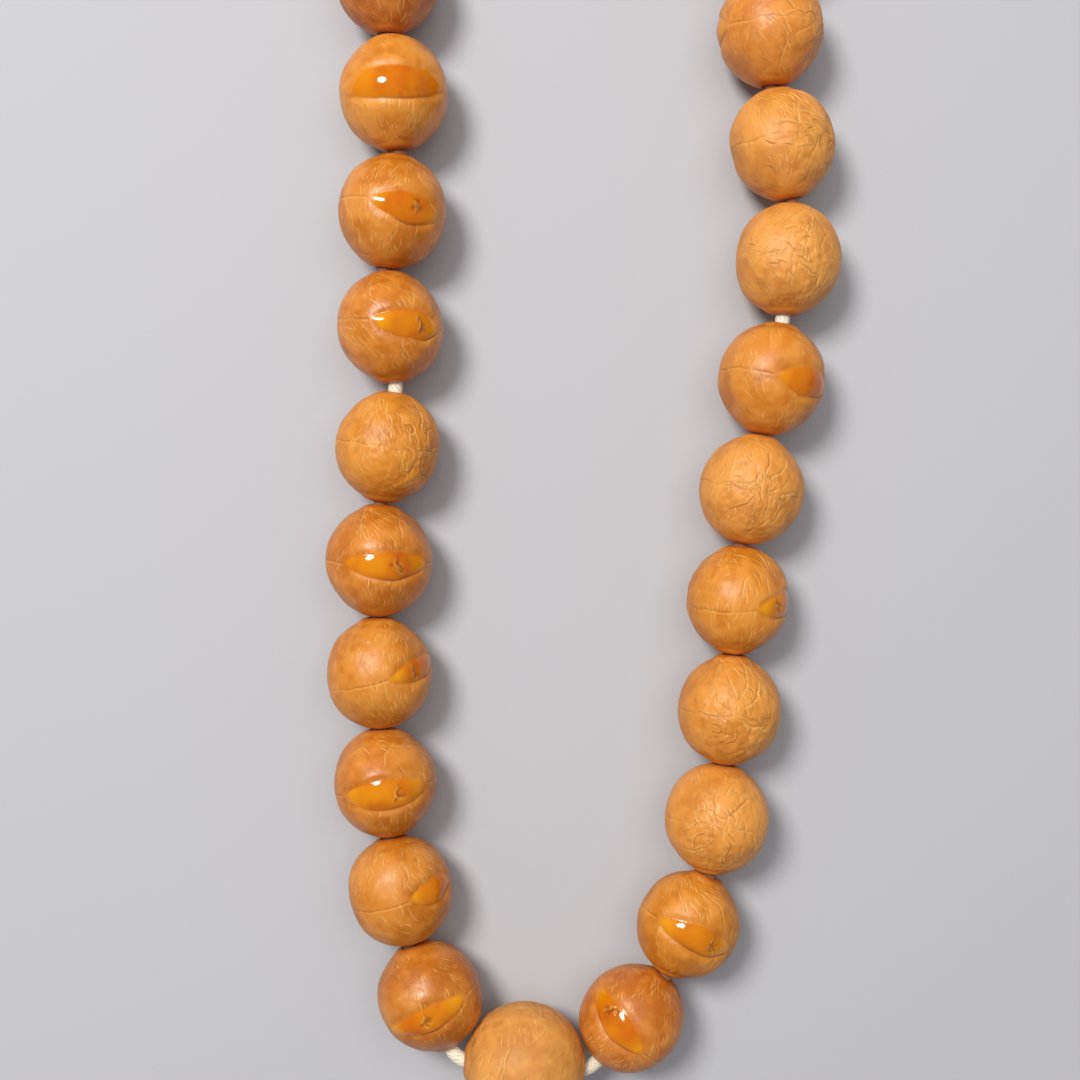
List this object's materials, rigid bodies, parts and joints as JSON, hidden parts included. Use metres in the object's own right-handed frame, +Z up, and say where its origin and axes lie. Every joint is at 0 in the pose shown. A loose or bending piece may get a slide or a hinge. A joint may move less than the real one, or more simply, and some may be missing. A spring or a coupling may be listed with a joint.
{
  "type": "misbaha prayer beads",
  "caption": "Closed strand of round glossy-eyed seed prayer beads on a cream cord, with one larger leader bead, laid out as a long loop.",
  "frame": {"origin": "middle of the strand's box in plan, on the surface that it lies on", "axes": "+Y up the long way of the loop, away from the leader bead; +X to the right seen from above; +Z up off the table"},
  "size_m": [0.0878, 0.3156, 0.0212],
  "materials": {
    "seed": "satin orange-brown seed shell with fine carved veins and a polished amber eye",
    "leader_seed": "matte yellow-ochre seed shell with fine veins",
    "cord": "creamy white round braided cord"
  },
  "bodies": {
    "root": {"leader_bead": "leader_seed", "cord_knot": "cord", "cord_lower_left": "cord", "cord_lower_right": "cord"},
    "cord_left_1": {"cord_left_1": "cord"},
    "cord_left_2": {"cord_left_2": "cord"},
    "cord_left_3": {"cord_left_3": "cord"},
    "cord_top": {"cord_top": "cord"},
    "cord_right_1": {"cord_right_1": "cord"},
    "cord_right_2": {"cord_right_2": "cord"},
    "cord_right_3": {"cord_right_3": "cord"},
    "bead_01": {"bead_01": "seed"},
    "bead_02": {"bead_02": "seed"},
    "bead_03": {"bead_03": "seed"},
    "bead_04": {"bead_04": "seed"},
    "bead_05": {"bead_05": "seed"},
    "bead_06": {"bead_06": "seed"},
    "bead_07": {"bead_07": "seed"},
    "bead_08": {"bead_08": "seed"},
    "bead_09": {"bead_09": "seed"},
    "bead_10": {"bead_10": "seed"},
    "bead_11": {"bead_11": "seed"},
    "bead_12": {"bead_12": "seed"},
    "bead_13": {"bead_13": "seed"},
    "bead_14": {"bead_14": "seed"},
    "bead_15": {"bead_15": "seed"},
    "bead_16": {"bead_16": "seed"},
    "bead_17": {"bead_17": "seed"},
    "bead_18": {"bead_18": "seed"},
    "bead_19": {"bead_19": "seed"},
    "bead_20": {"bead_20": "seed"},
    "bead_21": {"bead_21": "seed"},
    "bead_22": {"bead_22": "seed"},
    "bead_23": {"bead_23": "seed"},
    "bead_24": {"bead_24": "seed"},
    "bead_25": {"bead_25": "seed"},
    "bead_26": {"bead_26": "seed"},
    "bead_27": {"bead_27": "seed"},
    "bead_28": {"bead_28": "seed"},
    "bead_29": {"bead_29": "seed"},
    "bead_30": {"bead_30": "seed"},
    "bead_31": {"bead_31": "seed"},
    "bead_32": {"bead_32": "seed"},
    "bead_33": {"bead_33": "seed"}
  },
  "joints": [
    {"name": "bend_left_1", "type": "hinge", "parent": "root", "child": "cord_left_1", "pos_m": [-0.0339, -0.05031, 0.00901], "axis": [0, 0, 1], "range_deg": [-6, 6]},
    {"name": "bend_left_2", "type": "hinge", "parent": "cord_left_1", "child": "cord_left_2", "pos_m": [-0.03055, 0.00806, 0.00907], "axis": [0, 0, 1], "range_deg": [-6, 6]},
    {"name": "bend_left_3", "type": "hinge", "parent": "cord_left_2", "child": "cord_left_3", "pos_m": [-0.03253, 0.06503, 0.00904], "axis": [0, 0, 1], "range_deg": [-5.7, 5.7]},
    {"name": "bend_top", "type": "hinge", "parent": "cord_left_3", "child": "cord_top", "pos_m": [-0.03498, 0.1226, 0.00896], "axis": [0, 0, 1], "range_deg": [-5.9, 5.9]},
    {"name": "bend_right_1", "type": "hinge", "parent": "root", "child": "cord_right_1", "pos_m": [0.02747, -0.05748, 0.00894], "axis": [0, 0, 1], "range_deg": [-6.2, 6.2]},
    {"name": "bend_right_2", "type": "hinge", "parent": "cord_right_1", "child": "cord_right_2", "pos_m": [0.03551, 0.00042, 0.00895], "axis": [0, 0, 1], "range_deg": [-5.9, 5.9]},
    {"name": "bend_right_3", "type": "hinge", "parent": "cord_right_2", "child": "cord_right_3", "pos_m": [0.03059, 0.05744, 0.00903], "axis": [0, 0, 1], "range_deg": [-5.9, 5.9]},
    {"name": "bead_01_spin", "type": "hinge", "parent": "root", "child": "bead_01", "pos_m": [-0.02598, -0.13531, 0.00911], "axis": [-0.342, 0.9397, 0], "continuous": true},
    {"name": "bead_02_spin", "type": "hinge", "parent": "root", "child": "bead_02", "pos_m": [-0.03096, -0.11677, 0.00897], "axis": [-0.1736, 0.9848, 0], "continuous": true},
    {"name": "bead_03_spin", "type": "hinge", "parent": "root", "child": "bead_03", "pos_m": [-0.03343, -0.09804, 0.0089], "axis": [-0.0872, 0.9962, 0], "continuous": true},
    {"name": "bead_04_spin", "type": "hinge", "parent": "root", "child": "bead_04", "pos_m": [-0.03442, -0.07912, 0.00905], "axis": [-0.0175, 0.9998, 0], "continuous": true},
    {"name": "bead_05_spin", "type": "hinge", "parent": "root", "child": "bead_05", "pos_m": [-0.03425, -0.06, 0.00909], "axis": [0.0349, 0.9994, 0], "continuous": true},
    {"name": "bead_06_slide", "type": "slide", "parent": "cord_left_1", "child": "bead_06", "axis": [0.1392, 0.9903, 0], "range_m": [0, 0.001]},
    {"name": "bead_07_spin", "type": "hinge", "parent": "cord_left_1", "child": "bead_07", "pos_m": [-0.03206, -0.02082, 0.00893], "axis": [-0.0872, 0.9962, 0], "continuous": true},
    {"name": "bead_08_spin", "type": "hinge", "parent": "cord_left_1", "child": "bead_08", "pos_m": [-0.03171, -0.00166, 0.00909], "axis": [0.1219, 0.9925, 0], "continuous": true},
    {"name": "bead_09_spin", "type": "hinge", "parent": "cord_left_2", "child": "bead_09", "pos_m": [-0.03136, 0.01777, 0.00905], "axis": [-0.0872, 0.9962, 0], "continuous": true},
    {"name": "bead_10_spin", "type": "hinge", "parent": "cord_left_2", "child": "bead_10", "pos_m": [-0.0322, 0.03672, 0.0089], "axis": [0, 1, 0], "continuous": true},
    {"name": "bead_11_spin", "type": "hinge", "parent": "cord_left_2", "child": "bead_11", "pos_m": [-0.03236, 0.05551, 0.00898], "axis": [-0.0175, 0.9998, 0], "continuous": true},
    {"name": "bead_12_spin", "type": "hinge", "parent": "cord_left_3", "child": "bead_12", "pos_m": [-0.03303, 0.07468, 0.00911], "axis": [-0.0523, 0.9986, 0], "continuous": true},
    {"name": "bead_13_spin", "type": "hinge", "parent": "cord_left_3", "child": "bead_13", "pos_m": [-0.03419, 0.09367, 0.009], "axis": [-0.0698, 0.9976, 0], "continuous": true},
    {"name": "bead_14_spin", "type": "hinge", "parent": "cord_left_3", "child": "bead_14", "pos_m": [-0.03502, 0.11251, 0.00889], "axis": [-0.0175, 0.9998, 0], "continuous": true},
    {"name": "bead_15_spin", "type": "hinge", "parent": "cord_top", "child": "bead_15", "pos_m": [-0.03018, 0.13163, 0.00903], "axis": [0.4881, 0.8728, 0], "continuous": true},
    {"name": "bead_16_spin", "type": "hinge", "parent": "cord_top", "child": "bead_16", "pos_m": [-0.01603, 0.14528, 0.0091], "axis": [0.8898, 0.4563, 0], "continuous": true},
    {"name": "bead_17_spin", "type": "hinge", "parent": "cord_top", "child": "bead_17", "pos_m": [0.00331, 0.14881, 0.00895], "axis": [0.9936, -0.113, 0], "continuous": true},
    {"name": "bead_18_spin", "type": "hinge", "parent": "cord_top", "child": "bead_18", "pos_m": [0.02137, 0.14103, 0.00891], "axis": [0.7647, -0.6444, 0], "continuous": true},
    {"name": "bead_19_spin", "type": "hinge", "parent": "cord_top", "child": "bead_19", "pos_m": [0.0321, 0.12455, 0.00907], "axis": [0.2797, -0.9601, 0], "continuous": true},
    {"name": "bead_20_spin", "type": "hinge", "parent": "cord_right_3", "child": "bead_20", "pos_m": [0.03356, 0.10463, 0.00907], "axis": [-0.1392, -0.9903, 0], "continuous": true},
    {"name": "bead_21_spin", "type": "hinge", "parent": "cord_right_3", "child": "bead_21", "pos_m": [0.03157, 0.08576, 0.00891], "axis": [-0.0698, -0.9976, 0], "continuous": true},
    {"name": "bead_22_spin", "type": "hinge", "parent": "cord_right_3", "child": "bead_22", "pos_m": [0.03075, 0.06695, 0.00895], "axis": [-0.0175, -0.9998, 0], "continuous": true},
    {"name": "bead_23_spin", "type": "hinge", "parent": "cord_right_2", "child": "bead_23", "pos_m": [0.03092, 0.04777, 0.0091], "axis": [0.0349, -0.9994, 0], "continuous": true},
    {"name": "bead_24_spin", "type": "hinge", "parent": "cord_right_2", "child": "bead_24", "pos_m": [0.03158, 0.02876, 0.00902], "axis": [0.0349, -0.9994, 0], "continuous": true},
    {"name": "bead_25_spin", "type": "hinge", "parent": "cord_right_2", "child": "bead_25", "pos_m": [0.03372, 0.00988, 0.00889], "axis": [0.1908, -0.9816, 0], "continuous": true},
    {"name": "bead_26_spin", "type": "hinge", "parent": "cord_right_1", "child": "bead_26", "pos_m": [0.03488, -0.00931, 0.009], "axis": [-0.0698, -0.9976, 0], "continuous": true},
    {"name": "bead_27_slide", "type": "slide", "parent": "cord_right_1", "child": "bead_27", "axis": [0.1736, 0.9848, 0], "range_m": [0, 0.001]},
    {"name": "bead_28_spin", "type": "hinge", "parent": "cord_right_1", "child": "bead_28", "pos_m": [0.02912, -0.04804, 0.00897], "axis": [-0.1736, -0.9848, 0], "continuous": true},
    {"name": "bead_29_spin", "type": "hinge", "parent": "root", "child": "bead_29", "pos_m": [0.02679, -0.06696, 0.0089], "axis": [-0.0698, -0.9976, 0], "continuous": true},
    {"name": "bead_30_spin", "type": "hinge", "parent": "root", "child": "bead_30", "pos_m": [0.02548, -0.08575, 0.00905], "axis": [-0.0698, -0.9976, 0], "continuous": true},
    {"name": "bead_31_spin", "type": "hinge", "parent": "root", "child": "bead_31", "pos_m": [0.02364, -0.10478, 0.00909], "axis": [-0.1219, -0.9925, 0], "continuous": true},
    {"name": "bead_32_spin", "type": "hinge", "parent": "root", "child": "bead_32", "pos_m": [0.0187, -0.12333, 0.00893], "axis": [-0.3907, -0.9205, 0], "continuous": true},
    {"name": "bead_33_spin", "type": "hinge", "parent": "root", "child": "bead_33", "pos_m": [0.00904, -0.13972, 0.00893], "axis": [-0.6157, -0.788, 0], "continuous": true}
  ],
  "couplings": [
    {"joint": "bend_left_2", "follows": "bend_left_1", "ratio": 0.994},
    {"joint": "bend_left_3", "follows": "bend_left_1", "ratio": -0.939},
    {"joint": "bend_top", "follows": "bend_left_1", "ratio": -0.97},
    {"joint": "bend_right_1", "follows": "bend_left_1", "ratio": 1.029},
    {"joint": "bend_right_2", "follows": "bend_left_1", "ratio": 0.97},
    {"joint": "bend_right_3", "follows": "bend_left_1", "ratio": -0.979}
  ]
}
